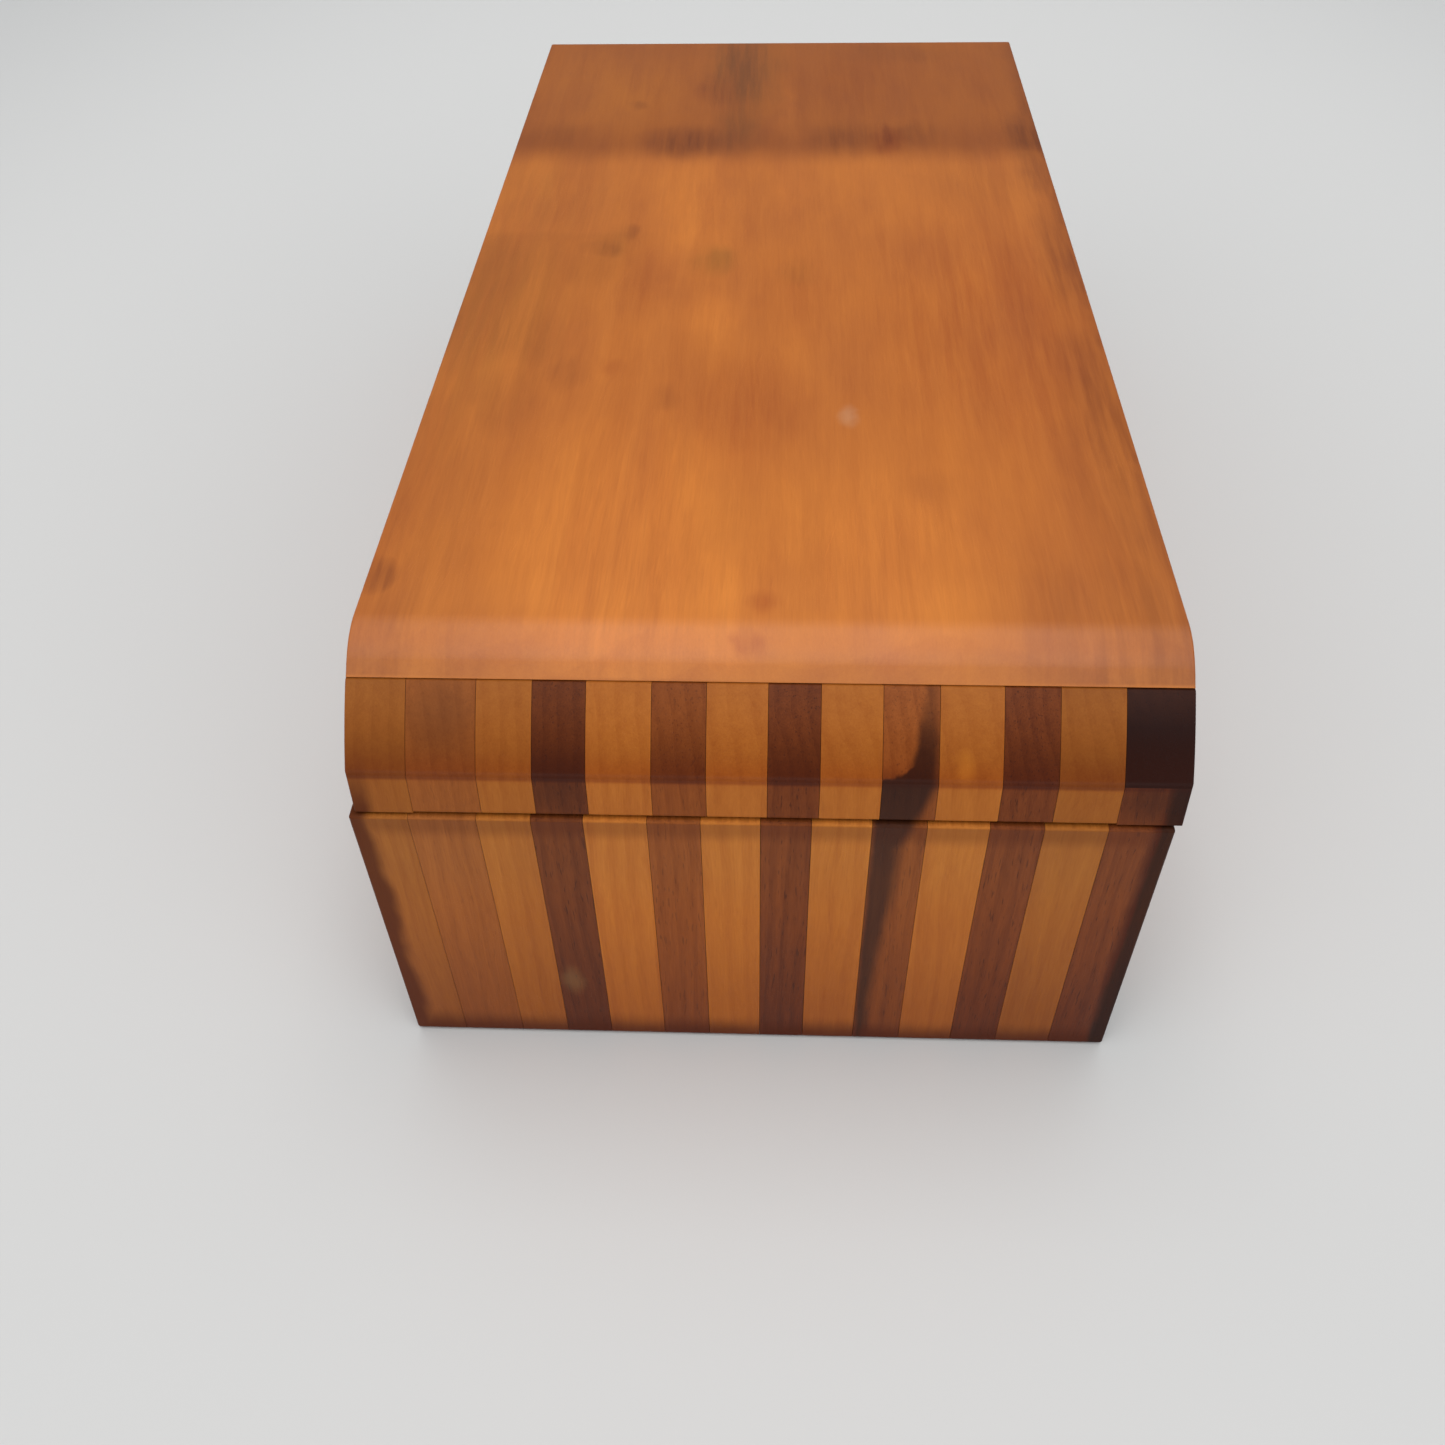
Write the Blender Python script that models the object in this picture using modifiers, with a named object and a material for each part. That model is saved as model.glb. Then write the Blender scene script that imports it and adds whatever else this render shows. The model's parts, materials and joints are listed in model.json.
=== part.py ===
"""A small wooden box with a striped, laminated front and a hinged lid.

The box is glued up as one block and sawn open, so the strips of its front run through from the
body into the lid, whose upper front edge is rounded to a nose. Two brass butt hinges at the far
end carry the lid.

Units are metres. The front faces -Y, the hinges are at +Y and Z is up. The origin is under the
middle of the body, on the surface that it stands on.
"""

import math

import bmesh
import bpy
from mathutils import Matrix, Vector

MM = 0.001

# Outside of the box
box_width = 88.9 * MM
box_length = 184.2 * MM
body_height = 43.2 * MM
lid_height = 15.9 * MM
saw_cut = 0.3 * MM

# Boards
side_thickness = 6.4 * MM
back_thickness = 6.4 * MM
top_thickness = 3.2 * MM
bottom_thickness = 3.2 * MM
glue_line = 0.05 * MM

# The striped front: the strips' widths from left to right, as shares of the box's width
strip_width_shares = (
    0.073,
    0.084,
    0.067,
    0.064,
    0.078,
    0.065,
    0.073,
    0.062,
    0.073,
    0.066,
    0.075,
    0.065,
    0.076,
    0.079,
)

# The lid hangs a little to the right of the body. Its front is a straight band above the saw
# cut, a crease, and a nose that rounds over to the top: a flat arc, then a tighter one.
lid_shift_right = 0.7 * MM
band_setback = 0.4 * MM
crease_setback = 1.0 * MM
nose_drop = 10.6 * MM
nose_round_radius = 8.8 * MM
nose_round_angle = math.radians(38)
nose_end_angle = math.radians(52)
nose_land = 1.5 * MM

# Eased edges
front_corner_radius = 1.6 * MM
rear_corner_radius = 0.8 * MM
base_edge_radius = 1.4 * MM
rim_edge_radius = 0.4 * MM
top_edge_radius = 0.3 * MM

# Hinges: two brass butts, their leaves let into the rims and their barrels behind the box. The
# barrel's knuckles are numbered from 0 at the left, and the body's leaf has the even ones.
knuckle_count = 3
hinge_length = 19.0 * MM
hinge_inset = 9.5 * MM
leaf_thickness = 0.8 * MM
leaf_margin = 1.0 * MM
leaf_clearance = 0.1 * MM
pin_radius = 0.75 * MM
pin_clearance = 0.08 * MM
barrel_clearance = 0.15 * MM
knuckle_gap = 0.2 * MM
pin_head_radius = 1.15 * MM
pin_head_height = 0.4 * MM
pin_head_gap = 0.08 * MM

# Countersunk screws, two in each leaf
screw_shank_radius = 0.8 * MM
screw_length = 7.0 * MM
screw_point_length = 1.6 * MM
screw_head_land = 0.12 * MM
screw_clearance = 0.1 * MM
screw_slot_width = 0.4 * MM
screw_slot_depth = 0.3 * MM
screw_place_share = 0.31

# How far a cutter runs past what it cuts, and how near a point lies to a face that it is on
cut_overrun = 1.0 * MM
touch = 0.01 * MM

# Facets that turn by less than the first lie in one face, and by more than the second are
# shaded as a sharp edge.
flat_angle = math.radians(0.5)
sharp_angle = math.radians(35)

# Facets of the arcs and turned shapes
EASE_SEGMENTS = 4
NOSE_SEGMENTS = 14
DOME_SEGMENTS = 3
BARREL_SIDES = 24
SCREW_SIDES = 16

# Places that follow from the sizes
front_y = -box_length / 2
rear_y = box_length / 2
body_left = -box_width / 2
body_right = box_width / 2
lid_left = body_left + lid_shift_right
lid_right = body_right + lid_shift_right
lid_base = body_height + saw_cut
lid_top = lid_base + lid_height
seam_z = lid_top - top_thickness
crease_z = lid_top - nose_drop

# The nose: an arc of nose_round_radius leaves the top and turns by nose_round_angle, and a
# flatter arc goes on from there to the crease, where it has turned by nose_end_angle.
round_drop = nose_round_radius * (1 - math.cos(nose_round_angle))
nose_flat_radius = (nose_drop - round_drop) / (
    math.cos(nose_round_angle) - math.cos(nose_end_angle)
)
nose_length = nose_round_radius * math.sin(nose_round_angle) + nose_flat_radius * (
    math.sin(nose_end_angle) - math.sin(nose_round_angle)
)
nose_start_y = front_y + crease_setback + nose_length

# Hinge sizes and places
bore_radius = pin_radius + pin_clearance
barrel_radius = bore_radius + leaf_thickness
axis_offset = barrel_radius + barrel_clearance
axis_y = rear_y + axis_offset
axis_z = body_height + saw_cut / 2
leaf_reach = back_thickness - leaf_margin
hinge_x = body_right - hinge_inset - hinge_length / 2
knuckle_length = (hinge_length - (knuckle_count - 1) * knuckle_gap) / knuckle_count
screw_head_height = leaf_thickness - screw_head_land
screw_head_radius = screw_shank_radius + screw_head_height
screw_x = hinge_length * screw_place_share
screw_y = -axis_offset - leaf_reach / 2

# How far up a pin head's dome its rings go from its edge, before it closes to the tip
dome_angle = math.radians(60)

# Colours, as they look on the finished wood and metal
LIGHT_WOOD = ((168, 104, 56), 0.35, 0.0)
PALE_BROWN_WOOD = ((150, 89, 51), 0.35, 0.0)
DARK_WOOD = ((92, 48, 32), 0.35, 0.0)
REDDISH_WOOD = ((112, 62, 42), 0.35, 0.0)
LAST_WOOD = ((96, 54, 36), 0.35, 0.0)
AMBER_WOOD = ((188, 106, 50), 0.3, 0.0)
WALL_WOOD = ((160, 94, 50), 0.4, 0.0)
BOTTOM_WOOD = ((172, 124, 78), 0.6, 0.0)
BRASS = ((176, 140, 72), 0.3, 1.0)
STRIP_WOODS = (
    LIGHT_WOOD,
    PALE_BROWN_WOOD,
    LIGHT_WOOD,
    DARK_WOOD,
    LIGHT_WOOD,
    REDDISH_WOOD,
    LIGHT_WOOD,
    DARK_WOOD,
    LIGHT_WOOD,
    REDDISH_WOOD,
    LIGHT_WOOD,
    DARK_WOOD,
    LIGHT_WOOD,
    LAST_WOOD,
)


def empty_scene():
    for obj in list(bpy.data.objects):
        bpy.data.objects.remove(obj)


def new_collection(name):
    collection = bpy.data.collections.new(name)
    bpy.context.scene.collection.children.link(collection)
    return collection


empty_scene()
PARTS = new_collection("marquetry_box")
CUTTERS = new_collection("cutters")


def linear(value):
    """One sRGB channel, 0 to 255, as the linear value that a shader takes."""
    share = value / 255
    if share <= 0.04045:
        return share / 12.92
    return ((share + 0.055) / 1.055) ** 2.4


def give_material(obj, finish):
    colour, roughness, metallic = finish
    material = bpy.data.materials.new(obj.name)
    material.use_nodes = True
    shader = material.node_tree.nodes["Principled BSDF"]
    shader.inputs["Base Color"].default_value = (*[linear(value) for value in colour], 1)
    shader.inputs["Roughness"].default_value = roughness
    shader.inputs["Metallic"].default_value = metallic
    material.diffuse_color = shader.inputs["Base Color"].default_value
    obj.data.materials.clear()
    obj.data.materials.append(material)


def add_object(name, data, collection=PARTS):
    obj = bpy.data.objects.new(name, data)
    collection.objects.link(obj)
    return obj


def mesh_from(name, bm):
    mesh = bpy.data.meshes.new(name)
    bm.to_mesh(mesh)
    bm.free()
    return mesh


def block(name, low, high, collection=PARTS):
    """A square block between two corners."""
    low = Vector(low)
    high = Vector(high)
    bm = bmesh.new()
    bmesh.ops.create_cube(bm, size=1, matrix=Matrix.Diagonal(high - low).to_4x4())
    obj = add_object(name, mesh_from(name, bm), collection)
    obj.location = (low + high) / 2
    return obj


def settled_mesh(obj):
    """The object's shape with its modifiers worked in, as a mesh of its own."""
    bpy.context.view_layer.update()
    return bpy.data.meshes.new_from_object(
        obj.evaluated_get(bpy.context.evaluated_depsgraph_get())
    )


def from_side_view(name, outline, left, right, hole=(), collection=PARTS):
    """A piece as wide as left to right, whose side view is an outline of (y, z) points, with
    perhaps a hole that is another such outline."""
    curve = bpy.data.curves.new(name, "CURVE")
    curve.dimensions = "2D"
    curve.fill_mode = "BOTH"
    curve.extrude = (right - left) / 2
    for points in (outline, hole):
        if not points:
            continue
        spline = curve.splines.new("POLY")
        spline.points.add(len(points) - 1)
        for point, (y, z) in zip(spline.points, points):
            point.co = (y, z, 0, 1)
        spline.use_cyclic_u = True
    drawn = add_object(name + "_outline", curve)
    drawn.location = ((left + right) / 2, 0, 0)
    drawn.rotation_euler = (math.pi / 2, 0, math.pi / 2)
    mesh = settled_mesh(drawn)
    bm = bmesh.new()
    bm.from_mesh(mesh)
    bmesh.ops.remove_doubles(bm, verts=bm.verts, dist=touch)
    if not hole:
        bmesh.ops.dissolve_limit(bm, angle_limit=flat_angle, verts=bm.verts, edges=bm.edges)
    bmesh.ops.recalc_face_normals(bm, faces=bm.faces)
    bm.to_mesh(mesh)
    bm.free()
    mesh.name = name
    obj = add_object(name, mesh, collection)
    obj.matrix_world = drawn.matrix_world
    bpy.data.objects.remove(drawn)
    return obj


def turned(name, profile, sides, collection=PARTS):
    """A round piece about its own Z axis, from (radius, height) points that run down."""
    bm = bmesh.new()
    points = [bm.verts.new((radius, 0, height)) for radius, height in profile]
    for upper, lower in zip(points, points[1:]):
        bm.edges.new((upper, lower))
    obj = add_object(name, mesh_from(name, bm), collection)
    screw = obj.modifiers.new("turned", "SCREW")
    screw.axis = "Z"
    screw.steps = sides
    screw.render_steps = sides
    screw.use_merge_vertices = True
    screw.merge_threshold = touch
    return obj


def as_cutter(obj):
    obj.hide_render = True
    obj.display_type = "WIRE"
    return obj


def boolean(obj, other, operation):
    modifier = obj.modifiers.new(other.name, "BOOLEAN")
    modifier.operation = operation
    modifier.solver = "EXACT"
    modifier.object = other


def round_smooth(obj):
    obj.data.shade_smooth()
    obj.data.set_sharp_from_angle(angle=sharp_angle)


def ease_edges(obj, rules):
    """Rounds each edge whose ends both pass a rule's two tests, by the rule's radius."""
    widest = max(radius for _, _, radius in rules)
    weights = obj.data.attributes.new("bevel_weight_edge", "FLOAT", "EDGE")
    place = obj.matrix_basis
    for edge in obj.data.edges:
        ends = [place @ obj.data.vertices[index].co for index in edge.vertices]
        for first, second, radius in rules:
            if all(first(end) and second(end) for end in ends):
                weights.data[edge.index].value = radius / widest
                break
    bevel = obj.modifiers.new("eased edges", "BEVEL")
    bevel.limit_method = "WEIGHT"
    bevel.width = widest
    bevel.segments = EASE_SEGMENTS
    bevel.harden_normals = True
    round_smooth(obj)


# The outer faces, as tests of a point


def at(value, place):
    return abs(value - place) < touch


def on_body_side(point):
    return at(point.x, body_left) or at(point.x, body_right)


def on_lid_side(point):
    return at(point.x, lid_left) or at(point.x, lid_right)


def on_front(point):
    return at(point.y, front_y)


def on_rear(point):
    return at(point.y, rear_y)


def on_body_end(point):
    return on_front(point) or on_rear(point)


def on_body_wall(point):
    return on_body_side(point) or on_body_end(point)


def on_base(point):
    return at(point.z, 0)


def on_rim(point):
    return at(point.z, body_height)


def on_lid_base(point):
    return at(point.z, lid_base)


def on_band(point):
    return point.z < crease_z + touch and point.y < front_y + crease_setback + touch


def on_nose(point):
    return point.z > crease_z - touch and point.y < nose_start_y + touch


def on_top(point):
    return at(point.z, lid_top)


def on_lid_wall(point):
    return on_lid_side(point) or on_band(point) or on_rear(point)


BODY_RULES = (
    (on_body_side, on_front, front_corner_radius),
    (on_body_side, on_rear, rear_corner_radius),
    (on_body_wall, on_base, base_edge_radius),
    (on_body_wall, on_rim, rim_edge_radius),
)
LID_RULES = (
    (on_lid_side, on_band, front_corner_radius),
    (on_lid_side, on_nose, top_edge_radius),
    (on_lid_side, on_rear, rear_corner_radius),
    (on_lid_wall, on_lid_base, rim_edge_radius),
    (on_lid_wall, on_top, top_edge_radius),
)


def nose_angle(drop):
    """How far the nose has turned where it is this far below the top."""
    if drop <= round_drop:
        return math.acos(1 - drop / nose_round_radius)
    return math.acos(math.cos(nose_round_angle) - (drop - round_drop) / nose_flat_radius)


def nose_point(angle):
    """The (y, z) point where the nose has turned by this angle from the top."""
    tight = min(angle, nose_round_angle)
    y = nose_start_y - nose_round_radius * math.sin(tight)
    z = lid_top - nose_round_radius * (1 - math.cos(tight))
    y -= nose_flat_radius * (math.sin(max(angle, nose_round_angle)) - math.sin(nose_round_angle))
    z -= nose_flat_radius * (math.cos(nose_round_angle) - math.cos(max(angle, nose_round_angle)))
    return y, z


def nose_arc(low_angle, high_angle):
    """Points up the nose, from where it has turned most to where it has turned least."""
    step = (low_angle - high_angle) / NOSE_SEGMENTS
    return [nose_point(low_angle - step * index) for index in range(NOSE_SEGMENTS + 1)]


# The front panel is thick enough to leave a land behind the nose, under the top board.
seam_angle = nose_angle(top_thickness)
front_inner_y = nose_point(seam_angle)[0] + nose_land


def strip_spans(left, right):
    """Each strip's left and right edge, half a glue line short of its neighbour."""
    total = sum(strip_width_shares)
    edges = [left]
    for share in strip_width_shares:
        edges.append(edges[-1] + (right - left) * share / total)
    spans = []
    for index, (low, high) in enumerate(zip(edges, edges[1:])):
        first = index == 0
        last = index == len(strip_width_shares) - 1
        low += 0 if first else glue_line / 2
        high -= 0 if last else glue_line / 2
        spans.append((low, high))
    return spans


def make_body_strips():
    spans = strip_spans(body_left, body_right)
    strips = []
    for number, ((low, high), wood) in enumerate(zip(spans, STRIP_WOODS), start=1):
        strip = block(
            f"body_front_strip_{number:02d}",
            (low, front_y, 0),
            (high, front_inner_y, body_height),
        )
        ease_edges(strip, BODY_RULES)
        give_material(strip, wood)
        strips.append(strip)
    return strips


def make_body_boards():
    inner_front = front_inner_y + glue_line
    inner_rear = rear_y - back_thickness - glue_line
    left = block(
        "body_left_side",
        (body_left, inner_front, 0),
        (body_left + side_thickness, inner_rear, body_height),
    )
    right = block(
        "body_right_side",
        (body_right - side_thickness, inner_front, 0),
        (body_right, inner_rear, body_height),
    )
    back = block(
        "body_back_end",
        (body_left, rear_y - back_thickness, 0),
        (body_right, rear_y, body_height),
    )
    bottom = block(
        "body_bottom_board",
        (body_left + side_thickness + glue_line, inner_front, 0),
        (body_right - side_thickness - glue_line, inner_rear, bottom_thickness),
    )
    for wall in (left, right, back):
        ease_edges(wall, BODY_RULES)
        give_material(wall, WALL_WOOD)
    give_material(bottom, BOTTOM_WOOD)
    return left, right, back, bottom


def make_lid_strips():
    under_board = seam_z - glue_line
    outline = [(front_y + band_setback, lid_base)]
    outline += nose_arc(nose_end_angle, nose_angle(lid_top - under_board))
    outline += [(front_inner_y, under_board), (front_inner_y, lid_base)]
    spans = strip_spans(lid_left, lid_right)
    strips = []
    for number, ((low, high), wood) in enumerate(zip(spans, STRIP_WOODS), start=1):
        strip = from_side_view(f"lid_front_strip_{number:02d}", outline, low, high)
        ease_edges(strip, LID_RULES)
        give_material(strip, wood)
        strips.append(strip)
    return strips


def make_lid_boards():
    under_board = seam_z - glue_line
    inner_front = front_inner_y + glue_line
    inner_rear = rear_y - back_thickness - glue_line
    outline = nose_arc(seam_angle, 0) + [(rear_y, lid_top), (rear_y, seam_z)]
    top = from_side_view("lid_top_board", outline, lid_left, lid_right)
    left = block(
        "lid_left_side",
        (lid_left, inner_front, lid_base),
        (lid_left + side_thickness, inner_rear, under_board),
    )
    right = block(
        "lid_right_side",
        (lid_right - side_thickness, inner_front, lid_base),
        (lid_right, inner_rear, under_board),
    )
    back = block(
        "lid_back_end",
        (lid_left, rear_y - back_thickness, lid_base),
        (lid_right, rear_y, under_board),
    )
    for board in (top, left, right, back):
        ease_edges(board, LID_RULES)
    give_material(top, AMBER_WOOD)
    for wall in (left, right, back):
        give_material(wall, WALL_WOOD)
    return top, left, right, back


# The hinge is drawn about its own pin, at the origin, and then put in its two places.


def along_x(obj):
    obj.rotation_euler = (0, math.pi / 2, 0)
    return obj


def screw_profile(clearance, rise, depth):
    """Down the outside of a countersunk screw, or of the hole that takes it."""
    shank = screw_shank_radius + clearance
    return [
        (0, rise),
        (screw_head_radius + clearance + rise, rise),
        (shank, -screw_head_height),
        (shank, -depth),
        (0, -depth),
    ]


def circle(radius):
    steps = [2 * math.pi * index / BARREL_SIDES for index in range(BARREL_SIDES)]
    return [(radius * math.cos(angle), radius * math.sin(angle)) for angle in steps]


def leaf_outline(side):
    """The side view of a leaf rolled round its pin, below the saw cut for side -1."""
    near = saw_cut / 2
    far = near + leaf_thickness
    start = math.pi + math.asin(far / barrel_radius)
    end = 3 * math.pi + math.asin(near / barrel_radius)
    step = (end - start) / BARREL_SIDES
    edge = -axis_offset - leaf_reach
    points = [(edge, -near), (edge, -far)]
    for index in range(BARREL_SIDES + 1):
        angle = start + step * index
        points.append((barrel_radius * math.cos(angle), barrel_radius * math.sin(angle)))
    return [(y, -side * z) for y, z in points]


def make_leaf_mesh(name, side, knuckles):
    """A leaf and its knuckles: side is -1 below the saw cut and 1 above it, and knuckles are
    the numbers of those that belong to this leaf."""
    half = hinge_length / 2
    leaf = from_side_view(name, leaf_outline(side), -half, half, circle(bore_radius), CUTTERS)
    tools = []
    pitch = knuckle_length + knuckle_gap
    reach = barrel_radius + cut_overrun
    last = knuckle_count - 1
    for number in range(knuckle_count):
        if number in knuckles:
            continue
        low = number * pitch - half - (cut_overrun if number == 0 else knuckle_gap)
        high = number * pitch - half + knuckle_length
        high += cut_overrun if number == last else knuckle_gap
        corners = (low, -axis_offset, -reach), (high, reach, reach)
        tools.append(block(f"{name}_notch_{number}", *corners, CUTTERS))
    for place in (-screw_x, screw_x):
        hole = turned(
            f"{name}_hole",
            screw_profile(screw_clearance, cut_overrun, leaf_thickness + cut_overrun),
            SCREW_SIDES,
            CUTTERS,
        )
        hole.location = (place, screw_y, side * saw_cut / 2)
        hole.rotation_euler = (0 if side < 0 else math.pi, 0, 0)
        tools.append(hole)
    for tool in tools:
        boolean(leaf, tool, "DIFFERENCE")
    mesh = settled_mesh(leaf)
    mesh.transform(leaf.matrix_world)
    mesh.name = name
    for used in [leaf, *tools]:
        bpy.data.objects.remove(used)
    return mesh


def make_pin_mesh():
    """A pin with a low domed head at each end, along X."""
    end = hinge_length / 2 + pin_head_gap
    tip = end + pin_head_height
    steps = range(DOME_SEGMENTS)
    angles = [dome_angle * (1 - index / (DOME_SEGMENTS - 1)) for index in steps]
    dome = [
        (pin_head_radius * math.cos(angle), pin_head_height * math.sin(angle)) for angle in angles
    ]
    upper = [(0, tip)] + [(radius, end + height) for radius, height in dome] + [(pin_radius, end)]
    lower = [(radius, -height) for radius, height in reversed(upper)]
    pin = along_x(turned("pin", upper + lower, BARREL_SIDES, CUTTERS))
    mesh = settled_mesh(pin)
    mesh.transform(pin.matrix_world)
    bpy.data.objects.remove(pin)
    return mesh


def make_screw_mesh():
    """A slotted countersunk screw, its head's flat face at the origin and its point down."""
    shank_end = -(screw_length - screw_point_length)
    profile = [
        (0, 0),
        (screw_head_radius, 0),
        (screw_shank_radius, -screw_head_height),
        (screw_shank_radius, shank_end),
        (0, -screw_length),
    ]
    screw = turned("screw", profile, SCREW_SIDES, CUTTERS)
    reach = screw_head_radius + cut_overrun
    slot = block(
        "slot",
        (-reach, -screw_slot_width / 2, -screw_slot_depth),
        (reach, screw_slot_width / 2, cut_overrun),
        CUTTERS,
    )
    boolean(screw, slot, "DIFFERENCE")
    mesh = settled_mesh(screw)
    for used in (screw, slot):
        bpy.data.objects.remove(used)
    return mesh


def let_in_leaf(wood, name, place_x, side):
    """Cuts a leaf's recess and its two screw holes into a rim."""
    half = hinge_length / 2 + leaf_clearance
    floor = side * (saw_cut / 2 + leaf_thickness + leaf_clearance)
    mouth = -side * cut_overrun
    recess = block(
        name + "_recess",
        (place_x - half, rear_y - leaf_reach - leaf_clearance, axis_z + min(floor, mouth)),
        (place_x + half, rear_y + cut_overrun, axis_z + max(floor, mouth)),
        CUTTERS,
    )
    boolean(wood, as_cutter(recess), "DIFFERENCE")
    radius = screw_shank_radius + screw_clearance
    depth = screw_length + screw_clearance
    for number, place in enumerate((-screw_x, screw_x), start=1):
        pilot = turned(
            f"{name}_pilot_{number}",
            [(0, 0), (radius, 0), (radius, -depth), (0, -depth)],
            SCREW_SIDES,
            CUTTERS,
        )
        pilot.location = (place_x + place, axis_y + screw_y, axis_z + side * saw_cut / 2)
        pilot.rotation_euler = (0 if side < 0 else math.pi, 0, 0)
        boolean(wood, as_cutter(pilot), "DIFFERENCE")


def place_copy(name, mesh, location, turned_over=False):
    obj = add_object(name, mesh.copy())
    obj.location = location
    obj.rotation_euler = (math.pi if turned_over else 0, 0, 0)
    round_smooth(obj)
    give_material(obj, BRASS)
    return obj


def make_hinges(body_back, lid_back):
    """Both hinges with their screws, and their recesses. Returns the pieces that turn."""
    body_leaf = make_leaf_mesh("body_leaf", -1, range(0, knuckle_count, 2))
    lid_leaf = make_leaf_mesh("lid_leaf", 1, range(1, knuckle_count, 2))
    pin = make_pin_mesh()
    screw = make_screw_mesh()
    moving = []
    for hinge, place_x in (("left_hinge", -hinge_x), ("right_hinge", hinge_x)):
        axis = Vector((place_x, axis_y, axis_z))
        place_copy(f"{hinge}_body_leaf", body_leaf, axis)
        moving.append(place_copy(f"{hinge}_lid_leaf", lid_leaf, axis))
        place_copy(f"{hinge}_pin", pin, axis)
        for number, place in enumerate((-screw_x, screw_x), start=1):
            lower = axis + Vector((place, screw_y, -saw_cut / 2))
            upper = axis + Vector((place, screw_y, saw_cut / 2))
            place_copy(f"{hinge}_body_screw_{number}", screw, lower)
            moving.append(place_copy(f"{hinge}_lid_screw_{number}", screw, upper, turned_over=True))
        let_in_leaf(body_back, f"{hinge}_body", place_x, -1)
        let_in_leaf(lid_back, f"{hinge}_lid", place_x, 1)
    return moving


def hang_on_pivot(pieces):
    """Parents the lid's pieces to an empty on the hinges' axis."""
    pivot = add_object("lid_pivot", None)
    pivot.location = (0, axis_y, axis_z)
    bpy.context.view_layer.update()
    for piece in pieces:
        piece.parent = pivot
        piece.matrix_parent_inverse = pivot.matrix_world.inverted()


def make_box():
    make_body_strips()
    body_back = make_body_boards()[2]
    lid_pieces = make_lid_strips()
    lid_boards = make_lid_boards()
    lid_pieces += lid_boards
    lid_pieces += make_hinges(body_back, lid_boards[3])
    hang_on_pivot(lid_pieces)


make_box()
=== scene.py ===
"""The look of a small wooden box: striped laminated front, rounded nose, amber top, brass hinges.

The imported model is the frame. Each piece is a merged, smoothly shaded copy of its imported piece,
and the body's front corners and base edge are drawn out a little sharper than they were packed.
Every finish is made from nodes. Patterns are drawn in millimetres on Object coordinates, so the
grain of a strip runs on from the body into the lid.
"""

import json
import math

import bpy
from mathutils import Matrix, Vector

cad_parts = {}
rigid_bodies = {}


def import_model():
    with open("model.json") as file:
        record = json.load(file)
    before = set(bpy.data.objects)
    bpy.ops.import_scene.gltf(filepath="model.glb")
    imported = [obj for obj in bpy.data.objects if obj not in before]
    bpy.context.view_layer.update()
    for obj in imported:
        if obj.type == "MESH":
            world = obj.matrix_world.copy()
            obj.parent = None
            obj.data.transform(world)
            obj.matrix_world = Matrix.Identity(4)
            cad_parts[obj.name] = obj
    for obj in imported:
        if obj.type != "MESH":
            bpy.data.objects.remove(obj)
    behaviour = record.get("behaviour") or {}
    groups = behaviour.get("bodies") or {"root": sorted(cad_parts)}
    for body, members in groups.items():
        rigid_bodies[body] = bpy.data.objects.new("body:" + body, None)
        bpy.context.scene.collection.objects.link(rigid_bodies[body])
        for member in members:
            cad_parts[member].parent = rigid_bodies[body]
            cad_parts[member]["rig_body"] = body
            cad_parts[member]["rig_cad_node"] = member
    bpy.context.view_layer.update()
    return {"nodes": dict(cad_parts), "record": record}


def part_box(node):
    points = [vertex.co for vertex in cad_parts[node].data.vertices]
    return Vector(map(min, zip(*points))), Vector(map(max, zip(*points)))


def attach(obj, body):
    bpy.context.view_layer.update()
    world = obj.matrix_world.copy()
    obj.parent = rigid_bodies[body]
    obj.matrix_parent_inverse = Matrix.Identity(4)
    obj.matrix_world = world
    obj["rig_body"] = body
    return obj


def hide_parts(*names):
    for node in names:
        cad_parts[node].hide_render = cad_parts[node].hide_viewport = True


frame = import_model()
slots = {part["node"]: part["material_slot"] for part in frame["record"]["subparts"]}

MM = 0.001

# Places in the box, in millimetres. All but the height of the lid's band are read from the
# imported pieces
body_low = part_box("body_front_strip_01")[0] / MM
body_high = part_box("body_front_strip_14")[1] / MM
lid_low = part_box("lid_front_strip_01")[0] / MM
left_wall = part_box("body_left_side")
half_width = (body_high.x - body_low.x) / 2
lid_shift = lid_low.x - body_low.x
inner_half_width = -left_wall[1].x / MM
inner_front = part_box("body_bottom_board")[0].y / MM
inner_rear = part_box("body_bottom_board")[1].y / MM
front_y = body_low.y
rear_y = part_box("body_back_end")[1].y / MM
body_rim = body_high.z
lid_rim = lid_low.z
seam_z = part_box("lid_top_board")[0].z / MM
band_height = 5.3
crease_z = lid_rim + band_height

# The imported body's rounded edges, in millimetres, and the shares of them that are kept
corner_easing = 1.6
base_easing = 1.4
rim_easing = 0.4
corner_kept = 0.22
base_kept = 0.64
near_enough = 0.02
CORNER_STRIPS = {"body_front_strip_01": -1, "body_front_strip_14": 1}

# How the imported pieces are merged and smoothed, in millimetres and degrees
merge_distance = 0.002
flat_angle = 0.5
smooth_angle = 35

# The photograph's view
photo_side = 1445
focal_pixels = 1337.4
sensor_width = 36
CAMERA_PLACE = Vector((1.70, -184.44, 153.56)) * MM
CAMERA_TURN = (44.26, 1.016, 2.14)

# The floor and the lamp, in metres and watts. The floor is painted darker far from the box, as
# painted shade
floor_size = 8
FLOOR_STRETCH = (1.6, 1, 1)
FLOOR_SHADE_FADE = (0.26, 0.68)
floor_dullness = 0.8
LAMP_SIZE = (1.9, 3.2)
lamp_power = 26
lamp_height = 3

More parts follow.
